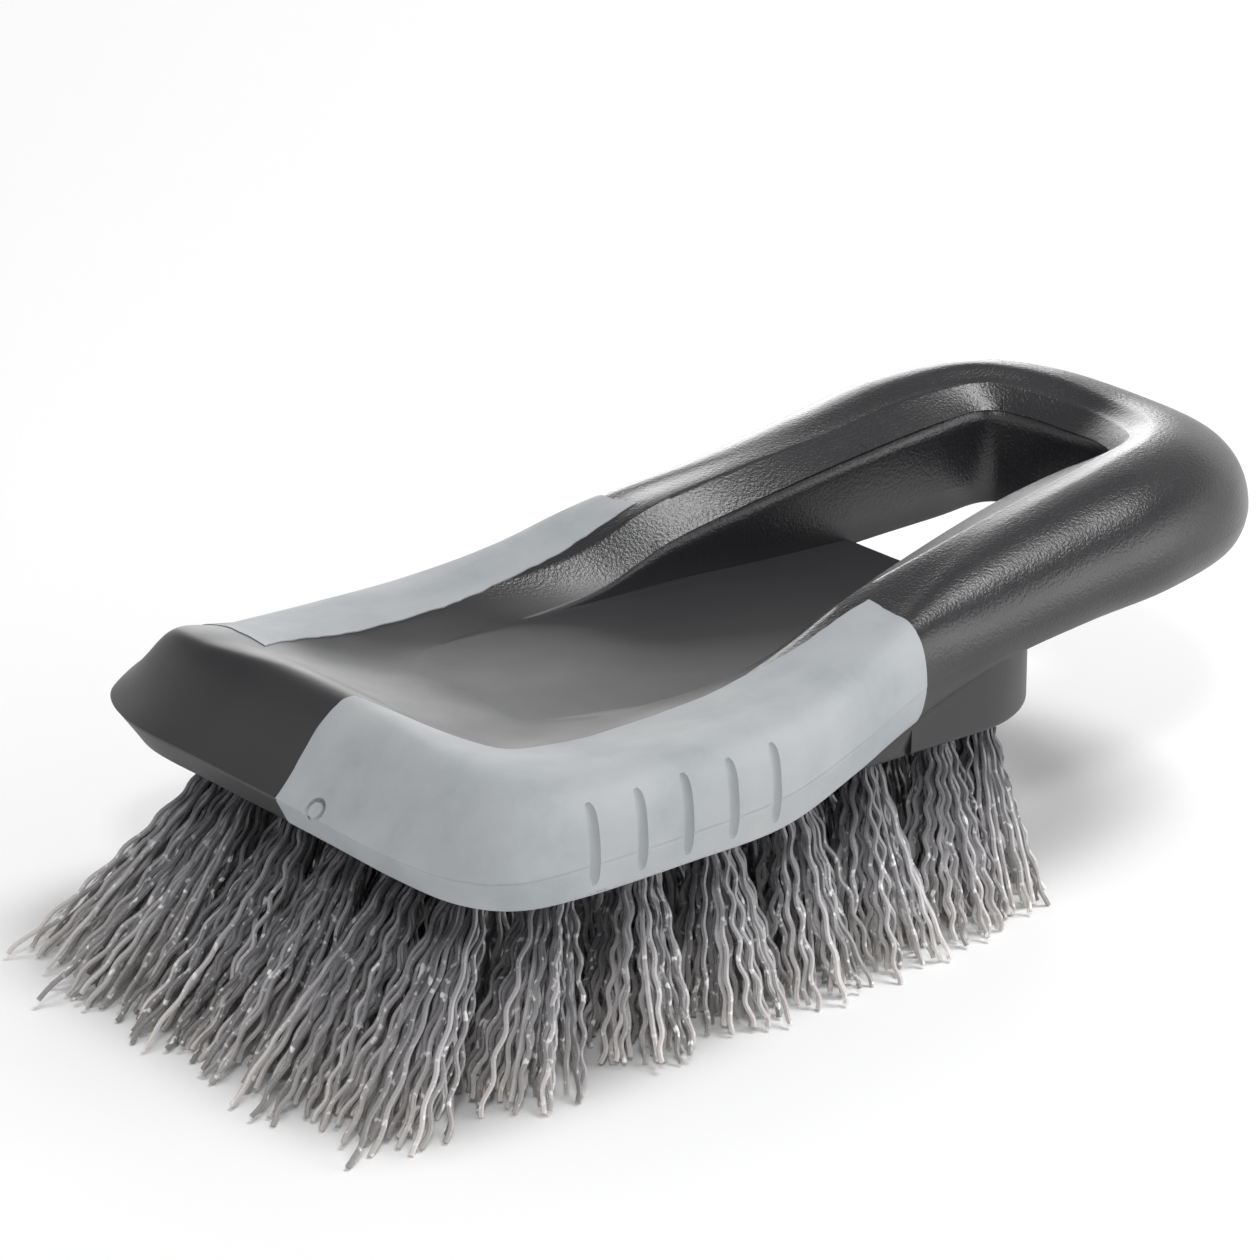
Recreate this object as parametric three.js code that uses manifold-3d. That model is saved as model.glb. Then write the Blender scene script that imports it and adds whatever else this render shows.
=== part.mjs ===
// A palm-sized wheel brush: a black moulded body (tufted block, sloping nose, dished tray and
// two rails that join behind it in a loop handle), two soft grey over-moulded grips and a field
// of crimped bristle tufts.
//
// Millimetres, +Z up. The brush stands on its bristle tips at z = 0. +X runs from the nose to
// the loop handle, +Y is the thumb side, and the origin lies under the middle of the brush.

import * as THREE from 'three';
import { ParametricGeometry } from 'three/addons/geometries/ParametricGeometry.js';
import { mergeVertices } from 'three/addons/utils/BufferGeometryUtils.js';
import Module from 'manifold-3d';

// ---- driving dimensions ----------------------------------------------------------------

const GAP = 0.3;                    // clearance between separate pieces

const BRISTLE_LENGTH = 23;          // from the surface that the brush stands on to the block
const SKIRT_HEIGHT = 1.5;           // lower edge of the nose and rails over the block's face
const FLOOR_HEIGHT = 7.3;           // tray floor over that lower edge
const NOSE_TO_ORIGIN = 61.35;       // from the nose's lower edge to the origin

const BLOCK = { front: 3.5, rear: 92.2, halfWidth: 28, corner: 15 };

const GRIP_THICKNESS = 1.8;
const GRIP_REAR = 66.4;              // where both grips end on the rails
const TRAY_HALF_WIDTH = 20.5;       // from the middle of the tray to a grip
const NOSE_SEAM = 3.4;              // the finger grip wraps the nose to this side of the middle
const CREST_BACK = 8.8;             // back of the nose crest, where the finger grip's edge runs
const THUMB_GRIP_FRONT = 11.8;      // the thumb grip starts just behind the crest

const GROOVE = { count: 5, first: 13.2, pitch: 6.3, radius: 0.6, low: 1.4, high: 10, side: 38.35 };

const TUFT = {
  rows: 8,
  columns: 6,
  firstRow: 8.5,
  rowPitch: 10.8,
  columnPitch: 9.7,
  cornerShift: 2.5,                 // the corner tufts move in along both axes, round the corner
  radius: 2.2,
  tipRadius: 4.6,
  depth: 6.5,
  sides: 8,
};
// how far the tips of the outermost tufts flare out, ahead, behind and to the sides
const LEAN = { front: 17, rear: 1.5, frontSide: 9, rearSide: 2, power: 2.2 };

// ---- stations of the ring -----------------------------------------------------------------
//
// The nose, the rails and the loop handle are one ring with a changing section. It is set out
// at stations, from the middle of the nose round the corner, along the finger side and round to
// the middle of the loop. A section stands on the line from an outer plan point (ox, oy) to an
// inner one (ix, iy). Its points give the distance in from the outer point and the height over
// the skirt edge.
//   foot    lower outer edge               wide   height of the outermost point
//   crest   outer shoulder ridge           lip    inner ridge, beside the tray
//   edge    height of the inner end        under  height of the underside at the inner end
//   ramp    1 for a sloping flank, 0 for an upright one
//   dish    1 where the top runs out into the tray floor, 0 where it ends in a rail's edge

const KEYS = [
  'ox', 'oy', 'ix', 'iy', 'foot', 'footZ', 'wide', 'crest', 'crestZ', 'lip', 'lipZ', 'edge', 'under', 'ramp', 'dish',
];
const FINGER_SIDE = [
  // nose
  [-1.7, 0, 27, 0, 1.7, 0, 3.4, 11, 12.4, 15, 10.4, 7.2, 0, 1, 1],
  [-1.7, 11.5, 27, 4.5, 1.7, 0, 3.4, 11, 12.4, 15.4, 10.4, 7.2, 0, 1, 1],
  [-1.7, 23, 27, 8.5, 1.7, 0, 3.4, 11, 12.3, 17, 10.3, 7.2, 0, 1, 1],
  // front corner
  [-0.3, 32.2, 28, 11, 1.3, 0, 3.5, 10.5, 12, 20.5, 9.6, 7.2, 0, 0.75, 0.8],
  [3.8, 37.4, 30.5, 13, 0.9, 0, 3.6, 9, 11.7, 24.8, 8.9, 7.2, 0, 0.35, 0.5],
  [11.5, 38.8, 34, 14, 0.5, 0, 3.7, 7, 11.4, 23, 8.8, 7.2, 0, 0.05, 0.2],
  // rail
  [26, 38.7, 40, 14.3, 0.5, 0, 3.7, 5.8, 11.2, 19.6, 9, 7.2, 0, 0, 0],
  [40, 37.8, 47, 14.3, 0.6, 0, 4, 5.2, 11.2, 17.6, 9.6, 7.2, 0, 0, 0],
  [54, 33.9, 57, 14, 1, 1.2, 5.3, 5, 12.2, 15.2, 11.5, 8.4, 1, 0, 0],
  [67, 30.2, 67, 13.8, 2, 2.7, 7.6, 5, 14.4, 12.2, 15, 11.8, 2.5, 0, 0],
  [80, 29.4, 80, 12.3, 3, 5.7, 9.5, 7, 17, 11.8, 17.2, 14.8, 5.2, 0, 0],
  [94, 29.4, 94, 11, 3.5, 7, 11, 8, 19.2, 12.8, 18.8, 17.2, 6.3, 0, 0],
  // loop
  [108, 29.2, 106, 10.5, 3.5, 7.6, 12, 8.5, 20.9, 13.5, 20.2, 18.4, 6.6, 0, 0],
  [122, 24.8, 113.5, 10.3, 3.5, 7.8, 12, 9, 21.2, 13.2, 20.4, 18.4, 6.8, 0, 0],
  [132, 14.5, 116.5, 6.2, 3.5, 7.8, 12, 9, 20.6, 14, 19.7, 18, 6.8, 0, 0],
  [135.8, 0, 117.5, 0, 3.5, 7.8, 12, 9, 20, 13.6, 19, 17.6, 6.8, 0, 0],
].map((row) => Object.fromEntries(row.map((value, i) => [KEYS[i], value])));

// The thumb side has the same plan. Its flank slopes and its shoulder is lower, from the front
// corner back along the thumb grip.
const THUMB_FLANK = {
  3: { ox: 0.4, oy: 31.2, wide: 2.8, crest: 10.8, crestZ: 11.7, ramp: 1 },
  4: { ox: 4.6, oy: 36.6, wide: 2.8, crest: 14, crestZ: 9.5, lip: 24, lipZ: 8.9, ramp: 1 },
  5: { crest: 17, crestZ: 9.2, lip: 23, ramp: 1 },
  6: { crest: 15, crestZ: 9.1, lip: 19, lipZ: 8.9, ramp: 1 },
  7: { crest: 13.5, crestZ: 9.9, lipZ: 9.5, ramp: 1 },
  8: { crest: 10, crestZ: 11.9, lipZ: 11.3, ramp: 0.6 },
};
const THUMB_SIDE = FINGER_SIDE.map((station, i) => ({ ...station, ...THUMB_FLANK[i] }));

// Once round: nose, finger side (-Y), loop, thumb side (+Y). The loop is set over a little to the
// thumb side.
const LOOP_OFFSET = { y: 1.6, from: 70, to: 125 };
const RING = [
  ...FINGER_SIDE.map((station) => ({ ...station, oy: -station.oy, iy: -station.iy })),
  ...THUMB_SIDE.slice(1, -1).reverse(),
].map((station) => {
  const offset = LOOP_OFFSET.y * THREE.MathUtils.smoothstep(station.ox, LOOP_OFFSET.from, LOOP_OFFSET.to);
  return { ...station, oy: station.oy + offset, iy: station.iy + offset };
});

const STEPS_PER_STATION = 2;
const SHOULDER_STEPS = 4;
const TOP_STEPS = 3;
const CORE_BOTTOM = -SKIRT_HEIGHT - 1;

// ---- curves ---------------------------------------------------------------------------------

const mix = THREE.MathUtils.lerp;

// One value of the section at place s, counted in stations round the ring.
function stationValue(key, s) {
  const i = Math.floor(s);
  const at = (n) => RING[(n + RING.length) % RING.length][key];
  const [before, start, end, after] = [at(i - 1), at(i), at(i + 1), at(i + 2)];
  return hermite(start, end, (end - before) / 2, (after - start) / 2, s - i);
}

function hermite(start, end, slopeIn, slopeOut, t) {
  const bend = t * (1 - t);
  const straight = mix(start, end, t * t * (3 - 2 * t));
  return straight + bend * ((1 - t) * slopeIn - t * slopeOut);
}

function stationAt(s) {
  return Object.fromEntries(KEYS.map((key) => [key, stationValue(key, s)]));
}

// ---- one section of the ring ------------------------------------------------------------------
//
// The points run from the foot up the flank, over the shoulder and the top to the inner end and
// back underneath. With an inset the section lies that far inside, and stands on a level below
// the block's face: it is then the core that a grip is moulded on.

function sectionPoints(st, inset) {
  const length = Math.hypot(st.ix - st.ox, st.iy - st.oy);
  const footZ = inset ? CORE_BOTTOM : st.footZ;
  const under = inset ? CORE_BOTTOM : st.under;
  const points = [new THREE.Vector2(st.foot + inset, footZ)];

  const shoulder = new THREE.CubicBezierCurve(
    new THREE.Vector2(inset, st.wide),
    new THREE.Vector2(mix(0.1, 3.2, st.ramp) + inset, mix(mix(st.wide, st.crestZ, 0.7), st.wide + 2.8, st.ramp)),
    new THREE.Vector2(mix(st.crest * 0.25, st.crest - 2.4, st.ramp) + inset / 2, st.crestZ - inset),
    new THREE.Vector2(st.crest + inset / 2, st.crestZ - inset),
  );
  points.push(...shoulder.getPoints(SHOULDER_STEPS));

  // from the crest to the lip, then on to the inner end: tangent to the tray floor behind the
  // nose, a straight slope along the rails
  const topWidth = st.lip - st.crest;
  const slopeWidth = length - st.lip;
  const chord = (st.edge - st.lipZ) / slopeWidth;
  const slopeIntoLip = mix(-0.08, -0.42, st.dish);
  const slopeOutOfLip = mix(chord, -0.42, st.dish);
  const slopeAtEnd = mix(chord, 0, st.dish);
  for (let i = 1; i <= TOP_STEPS; i++) {
    const t = i / TOP_STEPS;
    const z = hermite(st.crestZ, st.lipZ, 0, slopeIntoLip * topWidth, t);
    points.push(new THREE.Vector2(st.crest + topWidth * t, z - inset));
  }
  for (let i = 1; i <= TOP_STEPS; i++) {
    const t = i / TOP_STEPS;
    const z = hermite(st.lipZ, st.edge, slopeOutOfLip * slopeWidth, slopeAtEnd * slopeWidth, t);
    points.push(new THREE.Vector2(st.lip + slopeWidth * t, z - inset));
  }
  points.push(new THREE.Vector2(length, under));
  return points;
}

// ---- solids -------------------------------------------------------------------------------------

const wasm = await Module();
wasm.setup();

function toSolid(geometry) {
  geometry.deleteAttribute('normal');
  geometry.deleteAttribute('uv');
  const merged = mergeVertices(geometry, 1e-4);
  const mesh = new wasm.Mesh({
    numProp: 3,
    vertProperties: new Float32Array(merged.attributes.position.array),
    triVerts: new Uint32Array(merged.index.array),
  });
  return new wasm.Manifold(mesh);
}

function toGeometry(solid) {
  const { vertProperties, triVerts } = solid.getMesh();
  const geometry = new THREE.BufferGeometry();
  geometry.setAttribute('position', new THREE.BufferAttribute(vertProperties, 3));
  geometry.setIndex(new THREE.BufferAttribute(triVerts, 1));
  geometry.computeVertexNormals();
  return geometry;
}

// The whole ring, inset for the core that a grip is moulded on.
function ringSolid(inset = 0) {
  const count = RING.length * STEPS_PER_STATION;
  const sections = [];
  for (let i = 0; i < count; i++) {
    const st = stationAt(i / STEPS_PER_STATION);
    const outer = new THREE.Vector2(st.ox, st.oy);
    const inward = new THREE.Vector2(st.ix, st.iy).sub(outer).normalize();
    sections.push(sectionPoints(st, inset).map(
      (p) => new THREE.Vector3(outer.x + inward.x * p.x, outer.y + inward.y * p.x, p.y)));
  }
  const size = sections[0].length;
  const surface = (u, v, target) => {
    target.copy(sections[Math.round(u * count) % count][Math.round(v * size) % size]);
  };
  return toSolid(new ParametricGeometry(surface, count, size));
}

// A prism on a plan outline, from one height to another.
function prism(shape, low, high, curveSegments = 8) {
  const geometry = new THREE.ExtrudeGeometry(shape, { depth: high - low, bevelEnabled: false, curveSegments });
  geometry.translate(0, 0, low);
  return toSolid(geometry);
}

function roundedRectangle(x0, x1, halfWidth, r) {
  const shape = new THREE.Shape();
  shape.moveTo(x0, halfWidth - r);
  shape.lineTo(x0, r - halfWidth);
  shape.absarc(x0 + r, r - halfWidth, r, Math.PI, 1.5 * Math.PI, false);
  shape.absarc(x1 - r, r - halfWidth, r, 1.5 * Math.PI, 2 * Math.PI, false);
  shape.absarc(x1 - r, halfWidth - r, r, 0, 0.5 * Math.PI, false);
  shape.absarc(x0 + r, halfWidth - r, r, 0.5 * Math.PI, Math.PI, false);
  return shape;
}

const FAR = 60;                     // past the outside of the brush, for cutting shapes

// The plan areas that the grips cover. `grow` widens them for the pocket in the body.
function fingerGripArea(grow) {
  const seam = -NOSE_SEAM + grow;
  const inner = -TRAY_HALF_WIDTH + grow;
  const shape = new THREE.Shape();
  shape.moveTo(-FAR, seam);
  shape.lineTo(CREST_BACK + grow, seam);
  shape.quadraticCurveTo(CREST_BACK + 2.5 + grow, inner, CREST_BACK + 12, inner);
  shape.lineTo(GRIP_REAR + grow, inner);
  shape.lineTo(GRIP_REAR + grow, -FAR);
  shape.lineTo(-FAR, -FAR);
  return prism(shape, -FAR, FAR);
}

function thumbGripArea(grow) {
  const inner = TRAY_HALF_WIDTH - grow;
  const front = THUMB_GRIP_FRONT - grow;
  const shape = new THREE.Shape();
  shape.moveTo(front, FAR);
  shape.lineTo(front, inner - 3);
  shape.quadraticCurveTo(front + 4, inner, front + 9, inner);
  shape.lineTo(GRIP_REAR + grow, inner);
  shape.lineTo(GRIP_REAR + grow, FAR);
  return prism(shape, -FAR, FAR);
}

// ---- the moulded pieces -----------------------------------------------------------------------

const ring = ringSolid();

function gripPocket(area) {
  return area.subtract(ringSolid(GRIP_THICKNESS + GAP));
}

function grip(area) {
  return ring.subtract(ringSolid(GRIP_THICKNESS)).intersect(area);
}

function fingerGrooves() {
  const length = GROOVE.high - GROOVE.low;
  const cutters = [];
  for (let i = 0; i < GROOVE.count; i++) {
    const geometry = new THREE.CapsuleGeometry(GROOVE.radius, length - 2 * GROOVE.radius, 2, 8);
    geometry.rotateX(Math.PI / 2);
    geometry.translate(GROOVE.first + i * GROOVE.pitch, -GROOVE.side, (GROOVE.low + GROOVE.high) / 2);
    cutters.push(toSolid(geometry));
  }
  return wasm.Manifold.union(cutters);
}

// ---- the tufts -------------------------------------------------------------------------------

// Where each tuft stands in the block's face, and how far its tips flare from there.
function tuftPlaces() {
  const places = [];
  const lastRow = TUFT.rows - 1;
  const lastColumn = TUFT.columns - 1;
  for (let row = 0; row <= lastRow; row++) {
    for (let column = 0; column <= lastColumn; column++) {
      const along = (2 * row) / lastRow - 1;
      const across = (2 * column) / lastColumn - 1;
      const isCorner = Math.abs(along) === 1 && Math.abs(across) === 1;
      const shift = isCorner ? TUFT.cornerShift : 0;
      const reach = along < 0 ? LEAN.front : LEAN.rear;
      const sideReach = mix(LEAN.frontSide, LEAN.rearSide, row / lastRow);
      places.push({
        name: `tuft_row${row + 1}_column${column + 1}`,
        x: TUFT.firstRow + row * TUFT.rowPitch - shift * along,
        y: (across * lastColumn * TUFT.columnPitch) / 2 - shift * across,
        leanX: Math.sign(along) * reach * Math.abs(along) ** LEAN.power,
        leanY: Math.sign(across) * sideReach * Math.abs(across) ** LEAN.power,
      });
    }
  }
  return places;
}

function tuftGeometry(place) {
  const face = -SKIRT_HEIGHT;
  const tip = face - BRISTLE_LENGTH;
  const profile = [
    new THREE.Vector2(0, tip),
    new THREE.Vector2(TUFT.tipRadius, tip),
    new THREE.Vector2(TUFT.radius, face),
    new THREE.Vector2(TUFT.radius, face + TUFT.depth),
    new THREE.Vector2(0, face + TUFT.depth),
  ];
  const geometry = new THREE.LatheGeometry(profile, TUFT.sides);
  geometry.rotateX(Math.PI / 2);
  // the free length leans outwards; its lower end stays level
  const position = geometry.attributes.position;
  for (let i = 0; i < position.count; i++) {
    const drop = Math.max(0, face - position.getZ(i)) / BRISTLE_LENGTH;
    position.setX(i, place.x + position.getX(i) + place.leanX * drop);
    position.setY(i, place.y + position.getY(i) + place.leanY * drop);
  }
  return geometry;
}

function tuftHole(place) {
  const depth = TUFT.depth + GAP;
  const geometry = new THREE.CylinderGeometry(TUFT.radius + GAP, TUFT.radius + GAP, 2 * depth, TUFT.sides);
  geometry.rotateX(Math.PI / 2);
  geometry.translate(place.x, place.y, -SKIRT_HEIGHT);
  return toSolid(geometry);
}

// ---- the brush --------------------------------------------------------------------------------

const blackPlastic = new THREE.MeshStandardMaterial({ color: 0x3a3a3d, roughness: 0.55, metalness: 0 });
const greyRubber = new THREE.MeshStandardMaterial({ color: 0xa9aeb0, roughness: 0.6, metalness: 0 });
const bristleNylon = new THREE.MeshStandardMaterial({ color: 0x8b8786, roughness: 0.4, metalness: 0 });

const brush = new THREE.Group();
brush.position.set(-NOSE_TO_ORIGIN, 0, BRISTLE_LENGTH + SKIRT_HEIGHT);

function addPiece(name, geometry, material) {
  const mesh = new THREE.Mesh(geometry, material);
  mesh.name = name;
  brush.add(mesh);
}

const tufts = tuftPlaces();

const block = prism(
  roundedRectangle(BLOCK.front, BLOCK.rear, BLOCK.halfWidth, BLOCK.corner),
  -SKIRT_HEIGHT,
  FLOOR_HEIGHT,
);
const body = block
  .add(ring)
  .subtract(gripPocket(fingerGripArea(GAP)))
  .subtract(gripPocket(thumbGripArea(GAP)))
  .subtract(wasm.Manifold.union(tufts.map(tuftHole)));

addPiece('moulded_body', toGeometry(body), blackPlastic);
addPiece('finger_grip', toGeometry(grip(fingerGripArea(0)).subtract(fingerGrooves())), greyRubber);
addPiece('thumb_grip', toGeometry(grip(thumbGripArea(0))), greyRubber);
for (const place of tufts) {
  addPiece(place.name, tuftGeometry(place), bristleNylon);
}

export default brush;
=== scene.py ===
"""The looks of the wheel brush: a finely lofted black body, two soft grips with their mould marks,
and tufts made of single crimped filaments. Shapes are set out in millimetres in the plan of the
CAD model (x from the nose's lower edge, z over the skirt edge) and moved to the row's frame."""

import math

import bmesh
import bpy
import numpy as np
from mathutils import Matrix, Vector


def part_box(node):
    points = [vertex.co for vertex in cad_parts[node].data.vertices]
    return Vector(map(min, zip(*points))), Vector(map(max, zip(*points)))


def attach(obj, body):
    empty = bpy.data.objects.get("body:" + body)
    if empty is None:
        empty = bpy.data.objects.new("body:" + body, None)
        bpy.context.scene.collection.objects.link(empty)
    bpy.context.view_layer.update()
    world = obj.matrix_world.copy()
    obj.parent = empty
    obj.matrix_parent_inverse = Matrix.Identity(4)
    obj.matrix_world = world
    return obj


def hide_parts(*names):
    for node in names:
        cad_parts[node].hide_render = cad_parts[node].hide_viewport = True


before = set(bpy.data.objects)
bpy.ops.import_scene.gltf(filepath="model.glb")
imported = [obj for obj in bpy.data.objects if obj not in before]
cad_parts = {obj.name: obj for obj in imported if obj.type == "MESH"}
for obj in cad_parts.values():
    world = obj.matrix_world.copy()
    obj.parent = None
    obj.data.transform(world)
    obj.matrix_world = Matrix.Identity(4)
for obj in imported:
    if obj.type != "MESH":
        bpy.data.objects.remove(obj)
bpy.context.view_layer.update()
MM = 0.001

# ---- driving dimensions, in millimetres ---------------------------------------------------------

SKIRT_HEIGHT = 1.5                  # lower edge of the nose and rails over the block's face
NOSE_REACH = 1.83                   # the nose's foremost line in front of that edge
FLOOR_HEIGHT = 7.21                 # tray floor over that lower edge
BLOCK = {"front": 3.5, "rear": 92.2, "half_width": 28, "corner": 15, "edge": 0.8}
GRIP_THICKNESS = 1.6
GRIP_PROUD = 0.1                    # the soft grips stand this far out of the black plastic
SEAM = 0.06                         # width of the line between a grip and the plastic
FLASH = 0.09                        # how far a grip's moulded edge wanders
FLASH_STEP = 0.8                    # distance between the points of that edge
GRIP_REAR = 66.4
TRAY_HALF_WIDTH = 20.5
NOSE_SEAM = 3.4                     # the finger grip ends this far from the nose's middle
CREST_BACK = 8.8                    # how far back the nose's crest lies
FINGER_BEND = {"pull": 2.5, "end": 12}          # corner of the finger grip, back from the crest
THUMB_GRIP_FRONT = 11.8
THUMB_BEND = {"in": 3, "pull": 4, "end": 9}     # corner of the thumb grip, back from its front
FAR = 60                            # past the outside of the brush, for cutting shapes
CUT_MARGIN = 1                      # how far a cutting shape passes the block's face

GROOVE = {"count": 5, "first": 13.2, "pitch": 6.3, "radius": 0.7, "depth": 0.6, "low": 1.2, "high": 10.2,
          "end": 0.98, "bluntness": 8}
GATE_MARK = {"centre": (-1.0, -9.8, 3.8), "normal": (-0.75, 0, 0.66), "radius": 1.2, "line": 0.27,
             "depth": 0.7, "approach": 10}

TUFT = {"rows": 8, "columns": 6, "first_row": 8.5, "row_pitch": 10.8, "column_pitch": 9.7,
        "corner_shift": 2.5, "hole": 2.2, "clearance": 0.15, "wall_gap": 0.1, "bottom_gap": 0.5,
        "tip_radius": 6.9, "tip_pull": 0.4, "depth": 4.0}
LEAN = {"front": 17, "rear": 1.5, "front_side": 6.5, "rear_side": 2, "power": 1.8, "length_share": 0.15}
FILAMENT = {"count": 50, "radius": 0.31, "sides": 6, "step": 0.5, "crimp": 0.31, "crimp_length": 4.0,
            "flare": 1.12, "straight": 0.12}
# How much the filaments of one tuft differ from each other.
SCATTER = {"tip": 0.9, "tip_height": 0.5, "reach": 0.06, "wander": 0.5, "direction": 0.3, "phase": 0.35,
           "crimp_length": 0.03, "crimp": (0.7, 1.15), "swing": (0.8, 1.6), "swing_start": 0.6,
           "turn": 0.2, "stretch": 0.1}
TIP_CLEARANCE = 0.15                # the middle of a filament's end stays this far above the floor
STRANDS = 7                         # filaments of a tuft that cling together wave as one strand
GOLDEN_ANGLE = 137.5                # spreads the filaments of a tuft evenly over its hole
SEED = 20260
CIRCLE_POINTS = 24

LIGHT_DISTANCE = 1.1                # metres
LIGHTS = [
    {"name": "overhead", "azimuth": -27, "elevation": 69, "size": 0.4, "brightness": 13},
    {"name": "right_wall", "azimuth": -50, "elevation": 12, "size": 0.8, "brightness": 2.0},
    {"name": "back_wall", "azimuth": 55, "elevation": 8, "size": 0.5, "brightness": 4.3},
    {"name": "front_spot", "azimuth": -128, "elevation": 45, "size": 0.12, "brightness": 55},
]
BACKDROP = {"low": 0.3, "high": 0.5, "bright": 1.0, "dim": 0.3}
CAMERA = {"azimuth": -38.914, "elevation": 20.786, "distance": 0.527, "aim": (-0.0436, -0.0389, 0.0528),
          "sensor": 36, "lens": 148.6}

# Colours are linear red, green and blue. A ramp lists them with their places from 0 to 1.
PLASTIC_RAMP = [(0.3, (0.012, 0.0118, 0.0138)), (0.7, (0.0145, 0.0142, 0.0165))]
RUBBER_RAMP = [(0.3, (0.315, 0.337, 0.35)), (0.5, (0.37, 0.388, 0.4)), (0.72, (0.415, 0.425, 0.43))]
NYLON_RAMP = [(0, (0.2, 0.195, 0.2)), (0.5, (0.42, 0.41, 0.412)), (1, (0.72, 0.7, 0.695))]
# Painted shade on the bristles: slightly warm at the tips, darker up to the roots, where the body shades
# them.
PAINTED_ROOT_SHADE_RAMP = [(0, (1, 0.98, 0.94)), (0.35, (0.8, 0.8, 0.82)), (0.7, (0.3, 0.3, 0.32)),
                    (0.95, (0.08, 0.08, 0.09))]
PALE = (0.93, 0.93, 0.93, 1)

# The ring that makes the nose, the rails and the loop handle: one row per station, from the nose's
# middle to the loop's rear. ox, oy and ix, iy are a section's outer and inner end in plan. foot, crest
# and lip are distances in from the outer end, and foot_z, crest_z and lip_z their heights. wide is the
# height of the widest line, edge and under those of the inner end. ramp is 1 where the flank leans
# back, and dish is 1 where the top runs down hollow into the tray.
KEYS = ["ox", "oy", "ix", "iy", "foot", "foot_z", "wide", "crest", "crest_z", "lip", "lip_z", "edge",
        "under", "ramp", "dish"]
FINGER_SIDE = [
    # nose
    [-1.7, 0, 27, 0, 1.7, 0, 3.4, 10, 12.4, 15, 10.4, 7.2, 0, 1, 1],
    [-1.7, 11.5, 27, 4.5, 1.7, 0, 3.4, 10, 12.4, 15.4, 10.4, 7.2, 0, 1, 1],
    [-1.7, 23, 27, 8.5, 1.7, 0, 3.4, 10, 12.3, 17, 10.3, 7.2, 0, 1, 1],
    # front corner
    [-0.3, 32.2, 28, 11, 1.3, 0, 3.5, 10.5, 12, 20.5, 9.6, 7.2, 0, 0.75, 0.8],
    [3.8, 37.4, 30.5, 13, 0.9, 0, 3.6, 9, 11.7, 24.8, 8.9, 7.2, 0, 0.35, 0.5],
    [11.5, 38.8, 34, 14, 0.5, 0, 3.7, 7, 11.4, 23, 8.8, 7.2, 0, 0.05, 0.2],
    # rail
    [26, 38.7, 40, 14.3, 0.5, 0, 3.7, 5.8, 11.2, 19.6, 9, 7.2, 0, 0, 0],
    [40, 37.8, 47, 14.3, 0.6, 0, 4, 5.2, 11.2, 17.6, 9.6, 7.2, 0, 0, 0],
    [54, 33.9, 57, 14, 1, 1.2, 5.3, 5, 12.2, 15.2, 11.5, 8.4, 1, 0, 0],
    [67, 30.2, 67, 13.8, 2, 2.7, 7.6, 5, 14.4, 12.2, 15, 11.8, 2.5, 0, 0],
    [80, 29.4, 80, 12.3, 3, 5.7, 9.5, 8.6, 17.3, 12.2, 17.3, 14.8, 5.2, 0, 0],
    [94, 29.4, 94, 11, 3.5, 7, 11, 10.2, 19.5, 13.4, 19.1, 17.2, 6.3, 0, 0],
    # loop
    [108, 29.2, 106, 10.5, 3.5, 7.6, 12, 11, 21.2, 14.2, 20.6, 18.4, 6.6, 0, 0],
    [122, 24.8, 113.5, 10.3, 3.5, 7.8, 12, 11, 21.5, 14, 20.8, 18.4, 6.8, 0, 0],
    [132, 14.5, 116.5, 6.2, 3.5, 7.8, 12, 11.2, 20.9, 14.8, 20, 18, 6.8, 0, 0],
    [135.8, 0, 117.5, 0, 3.5, 7.8, 12, 11, 20.3, 14.4, 19.4, 17.6, 6.8, 0, 0],
]
# What differs on the thumb side, by station: the flank is lower and more sloping beside the tray, and
# the arm's ridge lies nearer the outside.
THUMB_FLANK = {
    2: {"foot": 2, "crest": 8.6, "crest_z": 12.4},
    3: {"ox": 0.6, "oy": 31.2, "foot": 2.4, "wide": 2.9, "crest": 8.4, "crest_z": 11.9, "ramp": 1},
    4: {"ox": 4.6, "oy": 36.6, "wide": 2.8, "crest": 11.8, "crest_z": 10.1, "lip": 24, "lip_z": 8.9,
        "ramp": 1},
    5: {"crest": 17, "crest_z": 9.2, "lip": 23, "ramp": 1},
    6: {"crest": 15, "crest_z": 9.1, "lip": 19, "lip_z": 8.9, "ramp": 1},
    7: {"crest": 13.5, "crest_z": 9.9, "lip_z": 9.5, "ramp": 1},
    8: {"crest": 10, "crest_z": 11.9, "lip_z": 11.3, "ramp": 0.6},
    10: {"crest": 7.4, "crest_z": 17, "lip": 11.8, "lip_z": 17.1},
    11: {"crest": 8.4, "crest_z": 19.3, "lip": 12.8, "lip_z": 18.8},
    12: {"crest": 9, "crest_z": 21.4, "lip": 13.5, "lip_z": 20.5},
    13: {"crest": 9.4, "crest_z": 22.3, "lip": 13.4, "lip_z": 21.1},
    14: {"crest": 10, "crest_z": 21.5, "lip": 14.4, "lip_z": 20.4},
}
LOOP_OFFSET = {"y": 1.6, "from": 70, "to": 125}     # the loop sits a little to the thumb side
STEPS_PER_STATION = 12
EDGE_ROUND = 1.8                    # rounding of the inner upper edge, round the loop's hole
RAIL_EDGE_SHARE = 0.3               # share of that rounding beside the tray
SHARP = 0.02                        # rounding of an edge that stays hidden
FOOT_ROUND = 0.6
PARTING_STEP = {"in": 0.16, "down": 0.05}       # the lower mould half stands back at the widest line
ARM_EDGE = {"low": 8.5, "high": 14}             # a rail turns into an arm as its inner edge rises
ARM_BELLY = 0.8                     # how round an arm is below its widest line
FLANK = {"rail_pull": 0.79, "arm_pull": 0.58, "rail_push": 0.2, "arm_push": 0.4, "lean": 0.1}
RAMP = {"pull_in": 4.0, "pull_up": 4.2, "push_back": 3.4}
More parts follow.
